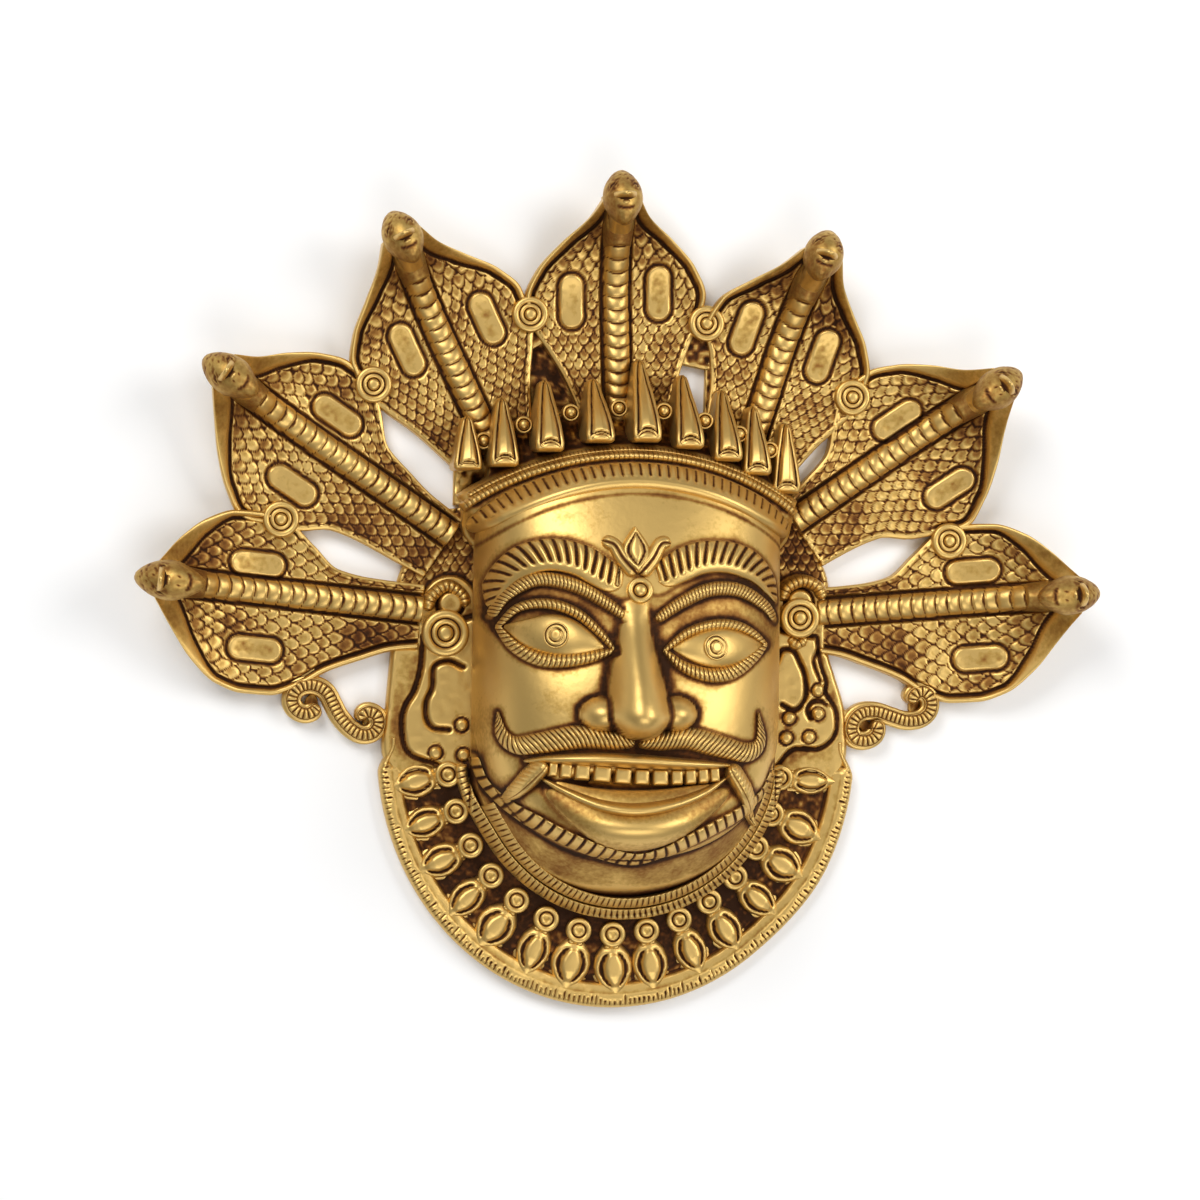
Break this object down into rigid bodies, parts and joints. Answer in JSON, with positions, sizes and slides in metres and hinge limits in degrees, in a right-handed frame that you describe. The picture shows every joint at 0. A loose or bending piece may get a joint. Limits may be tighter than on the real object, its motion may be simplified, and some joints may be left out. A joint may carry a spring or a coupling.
{
  "type": "bhairava face mask",
  "caption": "Cast brass wall mask: a fanged guardian face with a moustache under a fan of cobra hoods, over a bib of necklaces.",
  "frame": {"origin": "middle of the bounding box, on the plane of the flat back that the mask lies on", "axes": "+X to the viewer's right across the widest pair of hoods, +Y to the crown, +Z out of the face"},
  "size_m": [0.2498, 0.215, 0.0593],
  "materials": {
    "brass": "polished on the high places, with brown patina in the recesses"
  },
  "bodies": {
    "root": {"mask": "brass"}
  },
  "joints": []
}
